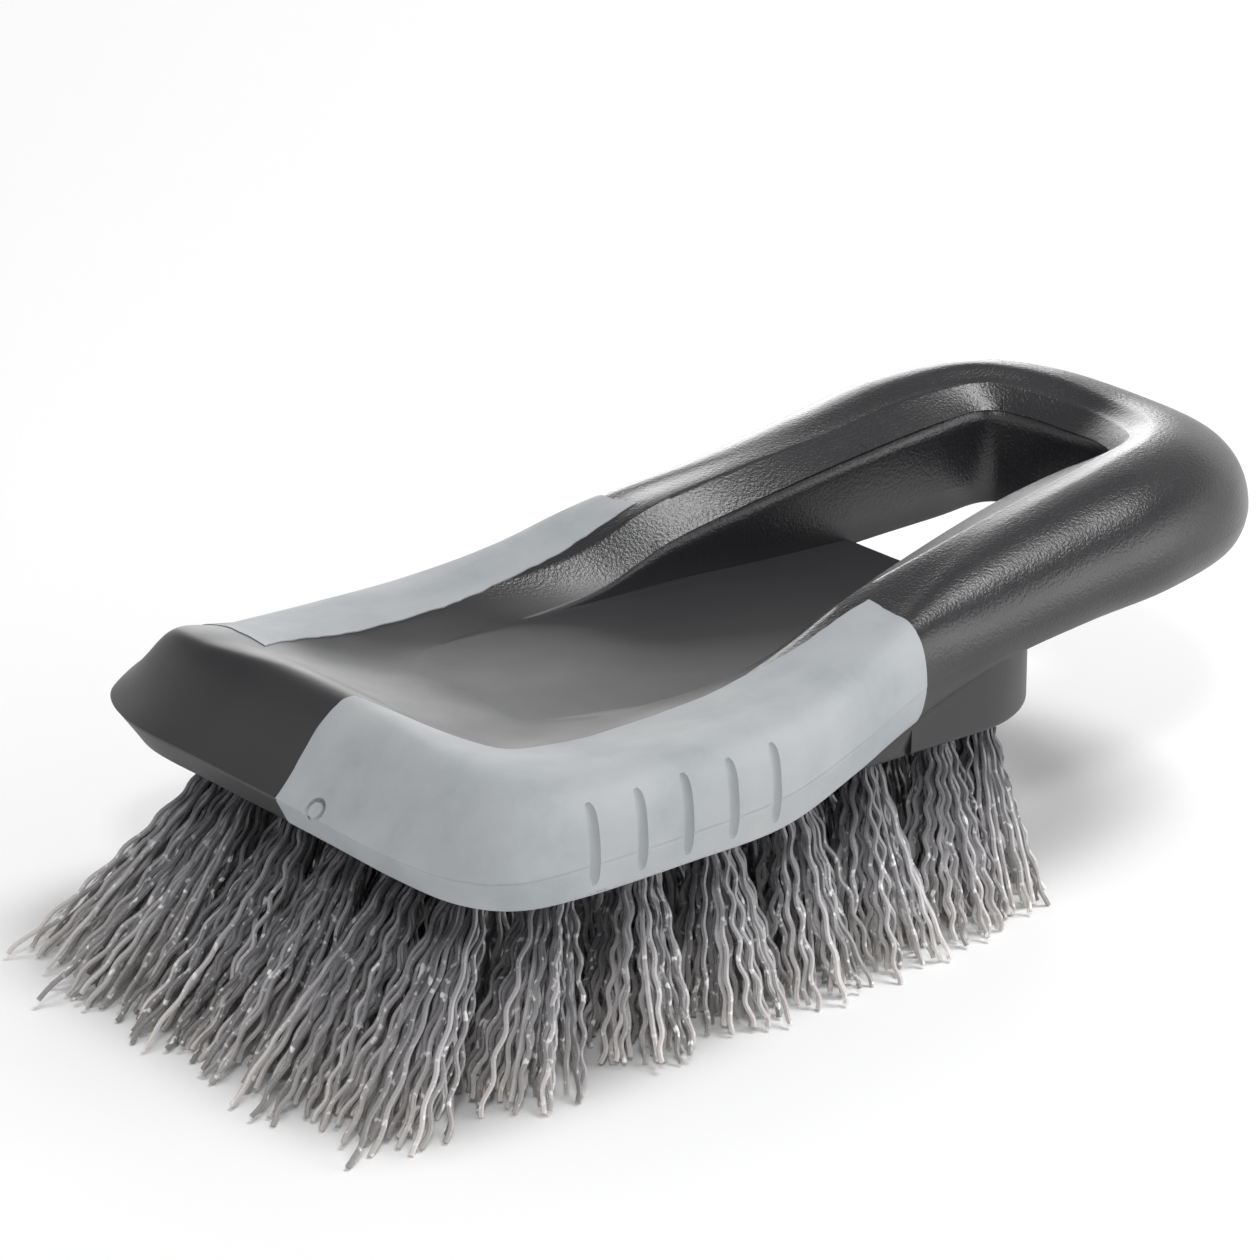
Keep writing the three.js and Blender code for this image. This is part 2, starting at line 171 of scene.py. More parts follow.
TOP_SLOPE = {"rail": -0.08, "dish": -0.42}

# The plan's origin in the row's frame: the skirt edge's middle at the nose.
body_low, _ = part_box("moulded_body")
ORIGIN = Vector((body_low.x / MM + NOSE_REACH, 0, body_low.z / MM + SKIRT_HEIGHT))


# ---- curves ------------------------------------------------------------------------------------

def smoothstep(value, low, high):
    t = np.clip((value - low) / (high - low), 0, 1)
    return t * t * (3 - 2 * t)


def hermite(start, end, slope_in, slope_out, t):
    straight = start + (end - start) * t * t * (3 - 2 * t)
    return straight + t * (1 - t) * ((1 - t) * slope_in - t * slope_out)


def mix(a, b, t):
    return a + (b - a) * t


def quadratic(a, b, c, t):
    """The curve from a to c that is pulled towards b."""
    return (1 - t) ** 2 * a + 2 * t * (1 - t) * b + t ** 2 * c


def cubic(a, b, c, d, t):
    """The curve from a to d that is pulled towards b and then c."""
    return (1 - t) ** 3 * a + 3 * t * (1 - t) ** 2 * b + 3 * t ** 2 * (1 - t) * c + t ** 3 * d


def ring_stations():
    """The stations once round: nose, finger side (-Y), loop, thumb side (+Y)."""
    finger = [dict(zip(KEYS, row)) for row in FINGER_SIDE]
    thumb = [{**station, **THUMB_FLANK.get(i, {})} for i, station in enumerate(finger)]
    finger = [{**station, "oy": -station["oy"], "iy": -station["iy"]} for station in finger]
    ring = finger + thumb[-2:0:-1]
    for station in ring:
        offset = LOOP_OFFSET["y"] * smoothstep(station["ox"], LOOP_OFFSET["from"], LOOP_OFFSET["to"])
        station["oy"] += offset
        station["iy"] += offset
    return ring


def ring_curves():
    """Each section value as an array round the ring, a smooth curve through its stations."""
    ring = ring_stations()
    t = np.arange(STEPS_PER_STATION) / STEPS_PER_STATION
    curves = {}
    for key in KEYS:
        column = np.array([station[key] for station in ring], float)
        start = column[:, None]
        end = np.roll(column, -1)[:, None]
        slope_in = (np.roll(column, -1) - np.roll(column, 1))[:, None] / 2
        slope_out = np.roll(slope_in, -1, axis=0)
        curves[key] = hermite(start, end, slope_in, slope_out, t[None, :]).ravel()
    return curves


# ---- one section of the ring -------------------------------------------------------------------

def at(distance, height):
    """Points (distance in, height) round the ring."""
    distance, height = np.broadcast_arrays(distance, height)
    return np.stack([distance, height], axis=-1).astype(float)


def rounded_corner(before, corner, after, radius, steps):
    """Points round a corner, from `radius` before it to `radius` after it."""
    to_before = before - corner
    to_after = after - corner
    start = corner + to_before * (radius / np.linalg.norm(to_before, axis=-1))[..., None]
    end = corner + to_after * (radius / np.linalg.norm(to_after, axis=-1))[..., None]
    return [quadratic(start, corner, end, t) for t in np.linspace(0, 1, steps)]


def lower_flank(foot, wide, arm):
    """From the foot up to the widest line: straight beside the tray, round on the arms."""
    straight = mix(foot, wide, 0.5)
    belly = np.stack([wide[:, 0], foot[:, 1]], axis=-1)
    points = []
    for t in np.linspace(0, 1, 12)[1:-1]:
        curved = quadratic(foot, mix(straight, belly, ARM_BELLY), wide, t)
        points.append(mix(mix(foot, wide, t), curved, arm[:, None]))
    return points


def upper_flank(c, wide, inset, arm):
    """From the widest line up to the crest: steep and rounded, or leaning back at the nose."""
    steep = mix(c["wide"], c["crest_z"], mix(FLANK["rail_pull"], FLANK["arm_pull"], arm))
    pull = at(mix(FLANK["lean"], RAMP["pull_in"], c["ramp"]) + inset,
              mix(steep, c["wide"] + RAMP["pull_up"], c["ramp"]))
    rounded = c["crest"] * mix(FLANK["rail_push"], FLANK["arm_push"], arm)
    push = at(mix(rounded, c["crest"] - RAMP["push_back"], c["ramp"]) + inset / 2, c["crest_z"] - inset)
    crest = at(c["crest"] + inset / 2, c["crest_z"] - inset)
    return [cubic(wide, pull, push, crest, t) for t in np.linspace(0, 1, 22)]


def top_surface(c, length, inset):
    """From the crest over the lip to the inner edge, hollow where it runs into the tray."""
    top_width = c["lip"] - c["crest"]
    slope_width = length - c["lip"]
    chord = (c["edge"] - c["lip_z"]) / slope_width
    into_lip = mix(TOP_SLOPE["rail"], TOP_SLOPE["dish"], c["dish"]) * top_width
    out_of_lip = mix(chord, TOP_SLOPE["dish"], c["dish"]) * slope_width
    at_end = mix(chord, 0, c["dish"]) * slope_width
    points = []
    for t in np.linspace(0, 1, 13)[1:]:
        height = hermite(c["crest_z"], c["lip_z"], 0, into_lip, t)
        points.append(at(c["crest"] + top_width * t, height - inset))
    for t in np.linspace(0, 1, 15)[1:-1]:
        height = hermite(c["lip_z"], c["edge"], out_of_lip, at_end, t)
        points.append(at(c["lip"] + slope_width * t, height - inset))
    return points


def inner_rounding(c):
    """The rounding of the inner upper edge: none at the nose, little on the rails, full on the arms."""
    full = mix(EDGE_ROUND, SHARP, smoothstep(c["dish"], 0, 0.3))
    return full * mix(RAIL_EDGE_SHARE, 1, smoothstep(c["edge"], 8, 13))


def section_points(c, inset, core):
    """The section as a list of (distance in, height) arrays round the ring. A core stands on a
    level below the block's face, so that a grip's pocket is open underneath."""
    length = np.hypot(c["ix"] - c["ox"], c["iy"] - c["oy"])
    low = np.full_like(length, -SKIRT_HEIGHT - CUT_MARGIN)
    foot = at(c["foot"] + inset, low if core else c["foot_z"])
    under = at(length, low if core else c["under"])
    wide = at(inset, c["wide"])
    edge = at(length, c["edge"] - inset)
    arm = smoothstep(c["edge"], ARM_EDGE["low"], ARM_EDGE["high"])

    points = []
    if core:
        points.append(foot)
    else:
        points += rounded_corner(under, foot, wide, np.full_like(length, FOOT_ROUND), 5)
    points += lower_flank(foot, wide, arm)
    points.append(at(inset + PARTING_STEP["in"] * (1 - arm), c["wide"] - PARTING_STEP["down"]))
    points += upper_flank(c, wide, inset, arm)
    points += top_surface(c, length, inset)
    points += rounded_corner(points[-1], edge, under, inner_rounding(c), 7)
    lower_rounding = np.full_like(length, SHARP if core else FOOT_ROUND)
    points += rounded_corner(edge, under, foot, lower_rounding, 5)
    return points


# ---- meshes ------------------------------------------------------------------------------------

def mesh_object(name, points, faces):
    """A new object from plan points in millimetres."""
    mesh = bpy.data.meshes.new(name)
    placed = (np.asarray(points, float) + np.array(ORIGIN)) * MM
    mesh.from_pydata(placed.tolist(), [], faces)
    mesh.validate()
    obj = bpy.data.objects.new(name, mesh)
    bpy.context.scene.collection.objects.link(obj)
    return obj


def closed_loft(name, rings):
    """A closed solid through a closed run of closed rings of points (a bent, endless tube)."""
    count, size = rings.shape[:2]
    faces = []
    for i in range(count):
        here, there = i * size, ((i + 1) % count) * size
        for j in range(size):
            k = (j + 1) % size
            faces.append((here + j, here + k, there + k, there + j))
    return face_outwards(mesh_object(name, rings.reshape(-1, 3), faces))


def capped_loft(name, rings):
    """A closed solid through a stack of rings, with a flat face at each end."""
    count, size = rings.shape[:2]
    faces = [tuple(range(size)), tuple(range((count - 1) * size, count * size))[::-1]]
    for i in range(count - 1):
        for j in range(size):
            k = (j + 1) % size
            faces.append((i * size + j, (i + 1) * size + j, (i + 1) * size + k, i * size + k))
    return face_outwards(mesh_object(name, rings.reshape(-1, 3), faces))


def face_outwards(obj):
    bm = bmesh.new()
    bm.from_mesh(obj.data)
    bmesh.ops.recalc_face_normals(bm, faces=bm.faces)
    if bm.calc_volume(signed=True) < 0:
        bmesh.ops.reverse_faces(bm, faces=bm.faces)
    bm.to_mesh(obj.data)
    bm.free()
    return obj


def apply_modifier(obj, modifier):
    depsgraph = bpy.context.evaluated_depsgraph_get()
    mesh = bpy.data.meshes.new_from_object(obj.evaluated_get(depsgraph))
    obj.modifiers.remove(modifier)
    old = obj.data
    obj.data = mesh
    bpy.data.meshes.remove(old)


def cut(obj, other, operation):
    """obj joined with, cut by or limited to the other solid, which is used up."""
    modifier = obj.modifiers.new("cut", "BOOLEAN")
    modifier.operation = operation
    modifier.solver = "MANIFOLD"
    modifier.object = other
    apply_modifier(obj, modifier)
    bpy.data.objects.remove(other)
    return obj


def joined(name, objects):
    """Several closed pieces that don't touch, as one object."""
    bm = bmesh.new()
    for obj in objects:
        bm.from_mesh(obj.data)
        bpy.data.objects.remove(obj)
    mesh = bpy.data.meshes.new(name)
    bm.to_mesh(mesh)
    bm.free()
    obj = bpy.data.objects.new(name, mesh)
    bpy.context.scene.collection.objects.link(obj)
    return obj


def shade_smooth(obj, angle):
    """Smooth shading, except over edges sharper than the angle in degrees."""
    obj.data.shade_smooth()
    obj.data.set_sharp_from_angle(angle=math.radians(angle))


def ring_solid(name, inset=0.0, core=False):
    """The nose, rails and loop as one solid, its outer faces moved in by the inset."""
    c = ring_curves()
    section = np.stack(section_points(c, inset, core), axis=1)
    outer = np.stack([c["ox"], c["oy"]], axis=-1)
    inward = np.stack([c["ix"], c["iy"]], axis=-1) - outer
    inward /= np.linalg.norm(inward, axis=-1, keepdims=True)
    plan = outer[:, None, :] + inward[:, None, :] * section[..., :1]
    return closed_loft(name, np.concatenate([plan, section[..., 1:]], axis=-1))


def arc(centre, radius, start, end, steps):
    angles = np.radians(np.linspace(start, end, steps))
    return np.stack([centre[0] + radius * np.cos(angles), centre[1] + radius * np.sin(angles)], axis=-1)


def circle(centre, radius):
    return arc(centre, radius, 0, 360 - 360 / CIRCLE_POINTS, CIRCLE_POINTS)


def raised(plan, height):
    """Plan points as points at one height."""
    return np.column_stack([plan, np.full(len(plan), height)])


def block_outline(shrink):
    front, rear = BLOCK["front"] + shrink, BLOCK["rear"] - shrink
    half = BLOCK["half_width"] - shrink
    r = BLOCK["corner"] - shrink
    corners = [((rear - r, half - r), 0), ((front + r, half - r), 90),
               ((front + r, r - half), 180), ((rear - r, r - half), 270)]
    return np.concatenate([arc(centre, r, start, start + 90, 24) for centre, start in corners])


def block_solid():
    """The tufted block: a rounded rectangle with soft lower and upper edges."""
    edge = BLOCK["edge"]
    stack = []
    for turn in np.radians(np.linspace(0, 90, 6)):
        plan = block_outline(edge * (1 - math.sin(turn)))
        stack.append(raised(plan, -SKIRT_HEIGHT + edge * (1 - math.cos(turn))))
    for turn in np.radians(np.linspace(90, 0, 6)):
        plan = block_outline(edge * (1 - math.sin(turn)))
        stack.append(raised(plan, FLOOR_HEIGHT - edge * (1 - math.cos(turn))))
    return capped_loft("block", np.array(stack))


# ---- the grips' outlines -----------------------------------------------------------------------

def bend(a, b, c, steps):
    """The rounded corner b of an outline, from a to c."""
    t = np.linspace(0, 1, steps)[:, None]
    return quadratic(np.array(a, float), np.array(b, float), np.array(c, float), t)


def ragged(points, amount, rng):
    """The outline with points at short steps, each moved a little: the flash of a moulded edge."""
    result = []
    for a, b in zip(points, np.roll(points, -1, axis=0)):
        steps = max(1, int(np.linalg.norm(b - a) / FLASH_STEP))
        for i in range(steps):
            result.append(a + (b - a) * i / steps)
    result = np.array(result)
    noise = rng.normal(size=result.shape) * amount
    return result + (noise + np.roll(noise, 1, axis=0)) / 2


def prism(name, outline):
    return capped_loft(name, np.array([raised(outline, -FAR), raised(outline, FAR)]))


def finger_grip_outline(grow):
    seam, inner = -NOSE_SEAM + grow, -TRAY_HALF_WIDTH + grow
    front, rear = CREST_BACK + grow, GRIP_REAR + grow
    corner = bend((front, seam), (front + FINGER_BEND["pull"], inner),
                  (CREST_BACK + FINGER_BEND["end"], inner), 24)
    points = np.concatenate([[[-FAR, seam]], corner, [[rear, inner], [rear, -FAR], [-FAR, -FAR]]])
    return ragged(points, FLASH, np.random.default_rng(SEED))


def thumb_grip_outline(grow):
    inner, front, rear = TRAY_HALF_WIDTH - grow, THUMB_GRIP_FRONT - grow, GRIP_REAR + grow
    corner = bend((front, inner - THUMB_BEND["in"]), (front + THUMB_BEND["pull"], inner),
                  (front + THUMB_BEND["end"], inner), 16)
    points = np.concatenate([[[front, FAR]], corner, [[rear, inner], [rear, FAR]]])
    return ragged(points, FLASH, np.random.default_rng(SEED + 1))


# ---- the moulded pieces ------------------------------------------------------------------------

def pocket(name, outline):
    """The room that a grip takes in the black moulding."""
    core = ring_solid("core", GRIP_THICKNESS + SEAM, core=True)
    return cut(prism(name, outline), core, "DIFFERENCE")


def surface_point(solid, start, direction):
    """Where a line from a plan point first meets the solid, as a plan point."""
    found, place, _, _ = solid.ray_cast((Vector(start) + ORIGIN) * MM, Vector(direction))
    assert found, "the line misses the solid"
    return place / MM - ORIGIN


def groove(solid, x):
    """A rod with blunt ends that lies half sunk along the flank, from low to high."""
    rings = []
    for along in np.linspace(-GROOVE["end"], GROOVE["end"], 25):
        z = mix(GROOVE["low"], GROOVE["high"], (along + 1) / 2)
        side = surface_point(solid, (x, -FAR, z), (0, 1, 0)).y
        radius = GROOVE["radius"] * (1 - abs(along) ** GROOVE["bluntness"]) ** 0.5
        rings.append(raised(circle((x, side - GROOVE["radius"] + GROOVE["depth"]), radius), z))
    return capped_loft("groove", np.array(rings))


def groove_cutters(solid):
    starts = [GROOVE["first"] + i * GROOVE["pitch"] for i in range(GROOVE["count"])]
    return joined("grooves", [groove(solid, x) for x in starts])


def ring_cutter(centre, normal, radius, line, depth, steps=32, sides=10):
    """A thin standing ring, for the round line that a gate pin leaves."""
    normal = Vector(normal).normalized()
    across = normal.cross(Vector((0, 1, 0))).normalized()
    along = normal.cross(across)
    rings = []
    for turn in np.arange(steps) / steps * math.tau:
        out = math.cos(turn) * across + math.sin(turn) * along
        ring = [Vector(centre) + out * (radius + line * math.cos(s)) + normal * depth * math.sin(s)
                for s in np.arange(sides) / sides * math.tau]
        rings.append([list(p) for p in ring])
    return closed_loft("ring_mark", np.array(rings))


def gate_mark_cutter(solid):
    """The gate mark's ring, placed where a line against its normal meets the flank."""
    normal = GATE_MARK["normal"]
    start = [p + GATE_MARK["approach"] * n for p, n in zip(GATE_MARK["centre"], normal)]
    centre = surface_point(solid, start, [-n for n in normal])
    return ring_cutter(centre, normal, GATE_MARK["radius"], GATE_MARK["line"], GATE_MARK["depth"])


def tuft_hole_cutters(places):
    holes = []
    for place in places:
        plan = circle((place["x"], place["y"]), TUFT["hole"] + TUFT["clearance"])
        stack = [raised(plan, -SKIRT_HEIGHT - CUT_MARGIN), raised(plan, TUFT["depth"])]
        holes.append(capped_loft("hole", np.array(stack)))
    return joined("holes", holes)


def make_body(places):
    body = cut(ring_solid("brush_body"), block_solid(), "UNION")
    cut(body, pocket("finger_pocket", finger_grip_outline(SEAM)), "DIFFERENCE")
    cut(body, pocket("thumb_pocket", thumb_grip_outline(SEAM)), "DIFFERENCE")
    cut(body, tuft_hole_cutters(places), "DIFFERENCE")
    shade_smooth(body, 32)
    return body


def make_grip(name, outline):
    """A soft grip as a skin that follows the ring, limited to its outline in plan."""
    grip = ring_solid(name, -GRIP_PROUD)
    cut(grip, ring_solid("core", GRIP_THICKNESS, core=True), "DIFFERENCE")
    return cut(grip, prism("area", outline), "INTERSECT")


def make_finger_grip():
    grip = make_grip("finger_grip_skin", finger_grip_outline(0))
    cut(grip, groove_cutters(grip), "DIFFERENCE")
    cut(grip, gate_mark_cutter(grip), "DIFFERENCE")
    shade_smooth(grip, 32)
    return grip


def make_thumb_grip():
    grip = make_grip("thumb_grip_skin", thumb_grip_outline(0))
    shade_smooth(grip, 32)
    return grip


# ---- bristles ----------------------------------------------------------------------------------

def tuft_places():
    """Each tuft's row, column, place in plan, and how far its tips lean out from there."""
    places = []
    rows, columns = TUFT["rows"], TUFT["columns"]
    for row in range(rows):
        for column in range(columns):
            along = 2 * row / (rows - 1) - 1
            across = 2 * column / (columns - 1) - 1
            shift = TUFT["corner_shift"] if abs(along) == 1 and abs(across) == 1 else 0
            reach = LEAN["front"] if along < 0 else LEAN["rear"]
            side_reach = mix(LEAN["front_side"], LEAN["rear_side"], row / (rows - 1))
            places.append({
                "row": row + 1,
                "column": column + 1,
                "x": TUFT["first_row"] + row * TUFT["row_pitch"] - shift * along,
                "y": across * (columns - 1) * TUFT["column_pitch"] / 2 - shift * across,
                "lean": np.array([math.copysign(reach * abs(along) ** LEAN["power"], along),
                                  math.copysign(side_reach * abs(across) ** LEAN["power"], across)]),
            })
    return places


def filament_path(place, spot, strand, rng):
    """Points down one crimped filament, from inside its hole to its tip."""
    top = TUFT["depth"] - TUFT["bottom_gap"]
    tip_z = -ORIGIN.z + TIP_CLEARANCE + abs(rng.normal()) * SCATTER["tip_height"]
    spread = spot * TUFT["tip_radius"] + rng.normal(size=2) * SCATTER["tip"]
    length = top - tip_z + LEAN["length_share"] * np.linalg.norm(place["lean"])
    t = np.linspace(0, 1, int(length / FILAMENT["step"]))
    z = mix(top, tip_z, t)
    free = np.clip((-SKIRT_HEIGHT - z) / (-SKIRT_HEIGHT - tip_z), 0, 1)
    root = np.array([place["x"], place["y"]])
    root = root + spot * (TUFT["hole"] - FILAMENT["radius"] - TUFT["wall_gap"])
    lean = place["lean"] * rng.normal(1, SCATTER["reach"])
    reach = lean + spread - spot * (TUFT["hole"] - TUFT["tip_pull"])
    wander = rng.normal(size=2) * SCATTER["wander"]
    swing = np.sin(free * math.pi * rng.uniform(*SCATTER["swing"]) + rng.uniform(0, SCATTER["swing_start"]))
    plan = root + free[:, None] ** FILAMENT["flare"] * reach + (free * swing)[:, None] * wander
    plan = plan + crimp_wave(t * length, free, strand, rng)
    return np.column_stack([plan, z])


def crimp_wave(distance, free, strand, rng):
    """A filament's small waves, nearly the same ones as its strand's. They begin outside the hole."""
    direction = strand["direction"] + rng.normal() * SCATTER["direction"]
    phase = strand["phase"] + rng.normal() * SCATTER["phase"]
    crimp_length = FILAMENT["crimp_length"] * strand["stretch"] * rng.normal(1, SCATTER["crimp_length"])
    height = FILAMENT["crimp"] * rng.uniform(*SCATTER["crimp"]) * smoothstep(free, 0, FILAMENT["straight"])
    wave = np.sin(distance / crimp_length * math.tau + phase) * height
    return wave[:, None] * np.array([math.cos(direction), math.sin(direction)])


def tube_rings(path):
    """Rings of points round a path, square to it."""
    tangent = np.gradient(path, axis=0)
    tangent /= np.linalg.norm(tangent, axis=1, keepdims=True)
    across = np.cross(tangent, [0.0, 1.0, 0.0])
    across /= np.linalg.norm(across, axis=1, keepdims=True)
    along = np.cross(tangent, across)
    turn = np.arange(FILAMENT["sides"]) / FILAMENT["sides"] * math.tau
    ring = np.cos(turn)[:, None] * across[:, None, :] + np.sin(turn)[:, None] * along[:, None, :]
    return path[:, None, :] + ring * FILAMENT["radius"]


def tube_faces(start, count):
    """Walls and cut ends of a tube of that many rings, whose first point has the number start."""
    sides = FILAMENT["sides"]
    last = start + (count - 1) * sides
    faces = []
    for a in range(start, last, sides):
        for j in range(sides):
            k = (j + 1) % sides
            faces.append((a + j, a + k, a + sides + k, a + sides + j))
    faces.append(tuple(start + j for j in range(sides))[::-1])
    faces.append(tuple(last + j for j in range(sides)))
    return faces


def make_tuft(place):
    """One tuft as one object: its filaments as thin closed tubes with cut ends."""
    rng = np.random.default_rng(SEED + 100 * place["row"] + place["column"])
    strands = [{"direction": rng.uniform(0, math.tau), "phase": rng.uniform(0, math.tau),
                "stretch": rng.normal(1, SCATTER["stretch"])} for _ in range(STRANDS)]
    points, faces, shades = [], [], []
    start = 0
    for i in range(FILAMENT["count"]):
        radius = math.sqrt((i + 0.5) / FILAMENT["count"])
        turn = i * math.radians(GOLDEN_ANGLE) + rng.uniform(-SCATTER["turn"], SCATTER["turn"])
        spot = radius * np.array([math.cos(turn), math.sin(turn)])
        strand = strands[int(turn % math.tau / math.tau * STRANDS)]
        rings = tube_rings(filament_path(place, spot, strand, rng))
        faces += tube_faces(start, len(rings))
        points.append(rings.reshape(-1, 3))
        shades.append(np.full(len(points[-1]), rng.uniform(0, 1)))
        start += len(points[-1])
    name = f"bristles_row{place['row']}_column{place['column']}"
    tuft = mesh_object(name, np.concatenate(points), faces)
    shade = tuft.data.attributes.new("shade", "FLOAT", "POINT")
    shade.data.foreach_set("value", np.concatenate(shades).astype(np.float32))
    shade_smooth(tuft, 50)
    return tuft


# ---- materials ---------------------------------------------------------------------------------

def new_material(name):
    material = bpy.data.materials.new(name)
    material.use_nodes = True
    tree = material.node_tree
    return material, tree, tree.nodes["Principled BSDF"]


def node(tree, kind, **settings):
    """A new node, with each setting given to the input or the property of that name."""
    made = tree.nodes.new(kind)
    for key, value in settings.items():
        if key in made.inputs:
            made.inputs[key].default_value = value
        else:
            setattr(made, key, value)
    return made


def noise(tree, size_mm, detail=3, roughness=0.5):
    """Noise in the row's frame, with features of about that size."""
    place = node(tree, "ShaderNodeTexCoord")
    made = node(tree, "ShaderNodeTexNoise", Scale=1 / (size_mm * MM), Detail=detail, Roughness=roughness)
    tree.links.new(place.outputs["Object"], made.inputs["Vector"])
    return made.outputs["Fac"]


def remap(tree, value, low, high, to_low=0.0, to_high=1.0):
    """The value, moved from one range to another and held inside it."""
    made = node(tree, "ShaderNodeMapRange")
    for i, number in zip(range(1, 5), (low, high, to_low, to_high)):
        made.inputs[i].default_value = number
    tree.links.new(value, made.inputs[0])
    return made.outputs["Result"]


def math_node(tree, operation, a, b):
    """A sum or product of two outputs or numbers."""
    made = node(tree, "ShaderNodeMath", operation=operation)
    for socket, value in zip(made.inputs, (a, b)):
        if isinstance(value, (int, float)):
            socket.default_value = value
        else:
            tree.links.new(value, socket)
    return made.outputs[0]


def colour_ramp(tree, value, stops):
    made = node(tree, "ShaderNodeValToRGB")
    elements = made.color_ramp.elements
    while len(elements) < len(stops):
        elements.new(0.5)
    for element, (position, colour) in zip(elements, stops):
        element.position = position
        element.color = (*colour, 1)
    tree.links.new(value, made.inputs["Fac"])
    return made.outputs["Color"]


def bump(tree, shader, height, strength, distance_mm):
    made = node(tree, "ShaderNodeBump", Strength=strength, Distance=distance_mm * MM)
    tree.links.new(height, made.inputs["Height"])
    tree.links.new(made.outputs["Normal"], shader.inputs["Normal"])


def position_mask(tree, axis, low_mm, high_mm):
    """0 to 1 as the place along one axis goes from low to high."""
    place = node(tree, "ShaderNodeTexCoord")
    split = node(tree, "ShaderNodeSeparateXYZ")
    tree.links.new(place.outputs["Object"], split.inputs[0])
    return remap(tree, split.outputs[axis], low_mm * MM, high_mm * MM)


def body_plastic():
    """Black moulded plastic: smooth nose and tray, fine leather grain on the rails and the loop."""
    material, tree, shader = new_material("black_plastic")
    shade = colour_ramp(tree, noise(tree, size_mm=14, detail=4), PLASTIC_RAMP)
    tree.links.new(shade, shader.inputs["Base Color"])
    tray = ORIGIN.z + FLOOR_HEIGHT
    grain = math_node(tree, "MULTIPLY", position_mask(tree, "X", low_mm=-38, high_mm=-22),
                      position_mask(tree, "Z", low_mm=tray + 0.5, high_mm=tray + 2.5))
    cells = noise(tree, size_mm=0.36, detail=2, roughness=0.6)
    gloss = remap(tree, noise(tree, size_mm=5, detail=4), 0.3, 0.7, to_low=0.46, to_high=0.5)
    roughness = math_node(tree, "ADD", gloss, math_node(tree, "MULTIPLY", grain, -0.18))
    tree.links.new(roughness, shader.inputs["Roughness"])
    texture = math_node(tree, "MULTIPLY", noise(tree, size_mm=0.5), 0.12)
    height = math_node(tree, "ADD", math_node(tree, "MULTIPLY", cells, grain), texture)
    bump(tree, shader, height, strength=0.8, distance_mm=0.085)
    shader.inputs["Specular IOR Level"].default_value = 0.65
    return material


def grip_rubber():
    """Grey soft rubber: matt, cloudy, with a faint flow pattern."""
    material, tree, shader = new_material("grey_rubber")
    cloud = noise(tree, size_mm=11, detail=5, roughness=0.6)
    tree.links.new(colour_ramp(tree, cloud, RUBBER_RAMP), shader.inputs["Base Color"])
    gloss = remap(tree, noise(tree, size_mm=4), 0.3, 0.7, to_low=0.6, to_high=0.72)
    tree.links.new(gloss, shader.inputs["Roughness"])
    flow = math_node(tree, "MULTIPLY", noise(tree, size_mm=2.5), 1.5)
    height = math_node(tree, "ADD", noise(tree, size_mm=0.35, detail=2), flow)
    bump(tree, shader, height, strength=0.25, distance_mm=0.03)
    shader.inputs["Specular IOR Level"].default_value = 0.25
    return material


def mixed_colour(tree, factor, a, b, blend_type="MIX"):
    """Colour a mixed with colour b. Each of the three is an output or a fixed value."""
    made = node(tree, "ShaderNodeMix", data_type="RGBA", blend_type=blend_type)
    for index, value in ((0, factor), (6, a), (7, b)):
        if isinstance(value, bpy.types.NodeSocket):
            tree.links.new(value, made.inputs[index])
        else:
            made.inputs[index].default_value = value
    return made.outputs[2]


def bristle_nylon():
    """Grey nylon with a clear shine: each filament a little lighter or darker, all of them darkened towards
    the root by painted shade, with pale patches of painted glints on the lower filaments."""
    material, tree, shader = new_material("bristle_nylon")
    shade = node(tree, "ShaderNodeAttribute", attribute_name="shade")
    colour = colour_ramp(tree, shade.outputs["Fac"], NYLON_RAMP)
    # Painted shade: the filaments darken from the tips up to the roots, under the body.
    depth = colour_ramp(tree, position_mask(tree, "Z", low_mm=0, high_mm=ORIGIN.z), PAINTED_ROOT_SHADE_RAMP)
    shaded = mixed_colour(tree, 1, colour, depth, "MULTIPLY")
    # Painted glints: pale patches on the lower filaments that stand in for the shine on crimped nylon.
    painted_glints = remap(tree, noise(tree, size_mm=1, detail=1), 0.62, 0.72, to_high=0.8)
    low_painted_glints = math_node(tree, "MULTIPLY", painted_glints, position_mask(tree, "Z", low_mm=18, high_mm=12))
    tree.links.new(mixed_colour(tree, low_painted_glints, shaded, PALE), shader.inputs["Base Color"])
    gloss = remap(tree, noise(tree, size_mm=0.8, detail=2), 0.3, 0.7, to_low=0.16, to_high=0.32)
    tree.links.new(gloss, shader.inputs["Roughness"])
    bump(tree, shader, noise(tree, size_mm=0.25, detail=2), strength=0.3, distance_mm=0.02)
    shader.inputs["Specular IOR Level"].default_value = 0.6
    return material


# ---- stage -------------------------------------------------------------------------------------

def make_floor():
    bpy.ops.mesh.primitive_plane_add(size=6)
    floor = bpy.context.object
    floor.name = "floor"
    material, _, shader = new_material("pale_floor")
    shader.inputs["Base Color"].default_value = PALE
    shader.inputs["Roughness"].default_value = 0.9
    shader.inputs["Specular IOR Level"].default_value = 0.1
    floor.data.materials.append(material)


def heading(azimuth, elevation):
    """A unit vector, from degrees round from +X and up from the floor."""
    azimuth, elevation = math.radians(azimuth), math.radians(elevation)
    return Vector((math.cos(azimuth) * math.cos(elevation), math.sin(azimuth) * math.cos(elevation),
                   math.sin(elevation)))


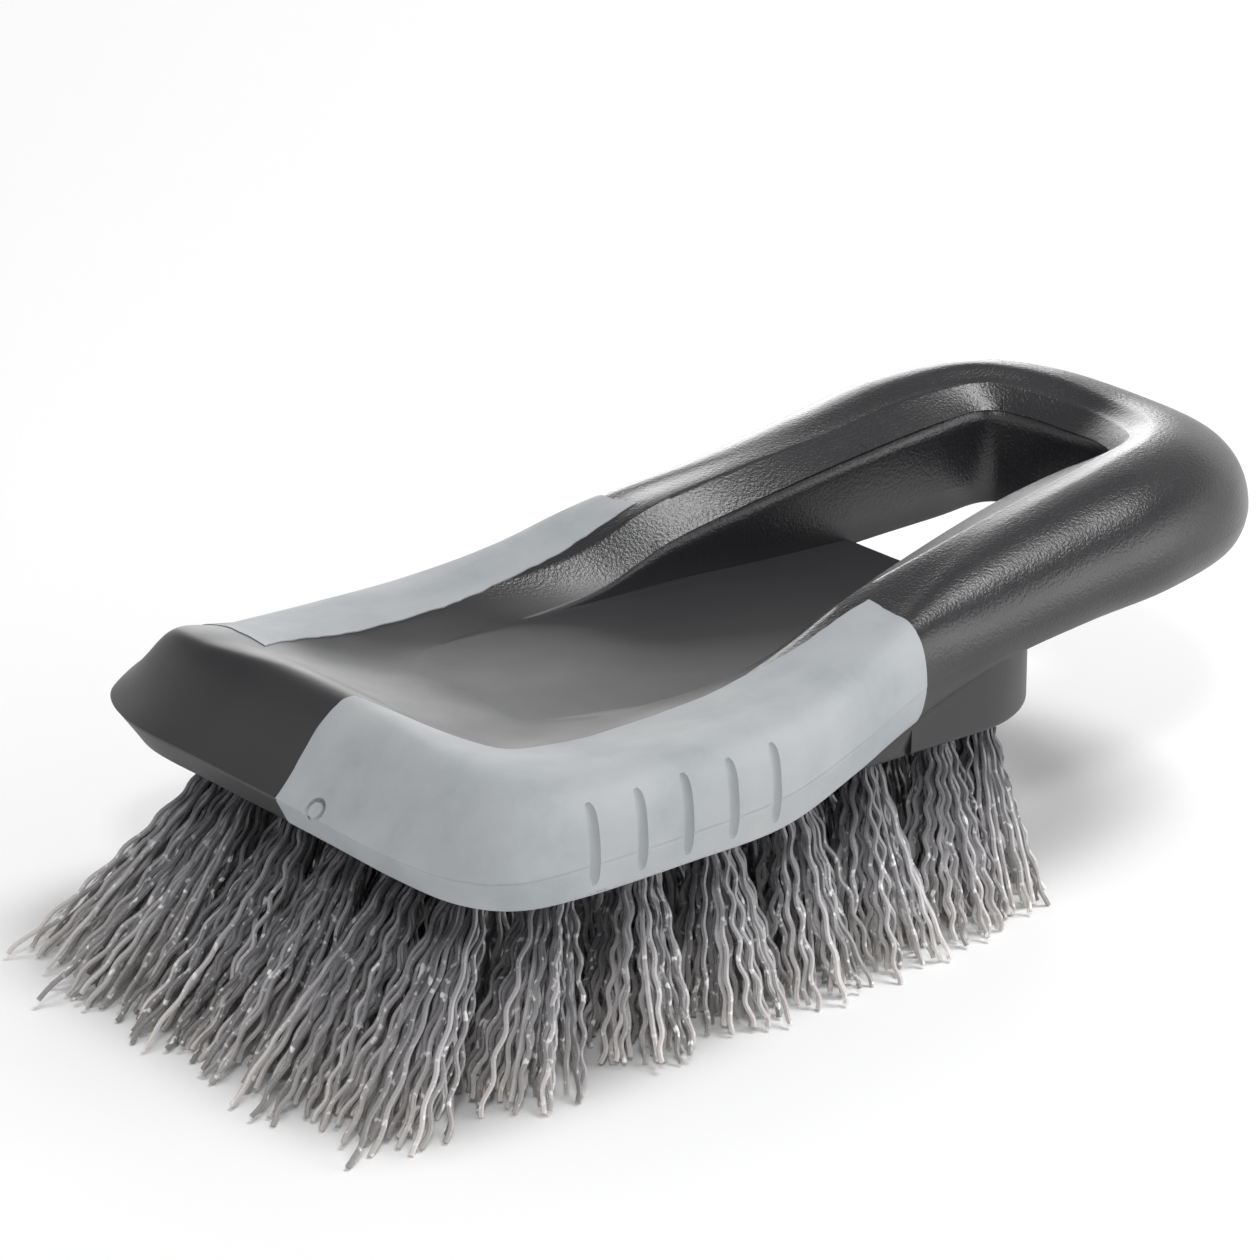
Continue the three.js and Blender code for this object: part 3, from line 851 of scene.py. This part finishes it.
def make_light(name, azimuth, elevation, size, brightness):
    """A square softbox facing the brush. Its power follows from how bright its face is."""
    data = bpy.data.lights.new(name, "AREA")
    data.shape = "SQUARE"
    data.size = size
    data.energy = brightness * math.pi * size ** 2
    away = heading(azimuth, elevation)
    light = bpy.data.objects.new(name, data)
    light.location = away * LIGHT_DISTANCE
    light.rotation_euler = away.to_track_quat("Z", "Y").to_euler()
    bpy.context.scene.collection.objects.link(light)


def make_world():
    """A white backdrop near the horizon under a darker ceiling."""
    world = bpy.data.worlds.new("studio")
    world.use_nodes = True
    tree = world.node_tree
    place = node(tree, "ShaderNodeTexCoord")
    split = node(tree, "ShaderNodeSeparateXYZ")
    tree.links.new(place.outputs["Generated"], split.inputs[0])
    strength = remap(tree, split.outputs["Z"], BACKDROP["low"], BACKDROP["high"],
                     to_low=BACKDROP["bright"], to_high=BACKDROP["dim"])
    tree.links.new(strength, tree.nodes["Background"].inputs["Strength"])
    tree.nodes["Background"].inputs["Color"].default_value = (1, 1, 1, 1)
    bpy.context.scene.world = world


def make_camera():
    """Looks down on the nose and the finger side, from the front left."""
    azimuth, elevation = math.radians(CAMERA["azimuth"]), math.radians(CAMERA["elevation"])
    away = Vector((math.sin(azimuth) * math.cos(elevation), -math.cos(azimuth) * math.cos(elevation),
                   math.sin(elevation)))
    data = bpy.data.cameras.new("camera")
    data.sensor_width = CAMERA["sensor"]
    data.lens = CAMERA["lens"]
    camera = bpy.data.objects.new("camera", data)
    camera.location = Vector(CAMERA["aim"]) + away * CAMERA["distance"]
    camera.rotation_euler = (-away).to_track_quat("-Z", "Y").to_euler()
    bpy.context.scene.collection.objects.link(camera)
    bpy.context.scene.camera = camera


# ---- the brush ---------------------------------------------------------------------------------

def add_piece(obj, nodes, material):
    obj.data.materials.clear()
    obj.data.materials.append(material)
    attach(obj, "root")
    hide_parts(*nodes)


places = tuft_places()
add_piece(make_body(places), ["moulded_body"], body_plastic())
rubber = grip_rubber()
add_piece(make_finger_grip(), ["finger_grip"], rubber)
add_piece(make_thumb_grip(), ["thumb_grip"], rubber)
nylon = bristle_nylon()
for place in places:
    node_name = f"tuft_row{place['row']}_column{place['column']}"
    add_piece(make_tuft(place), [node_name], nylon)

make_floor()
make_world()
for light in LIGHTS:
    make_light(**light)
make_camera()
bpy.context.scene.view_settings.view_transform = "Standard"
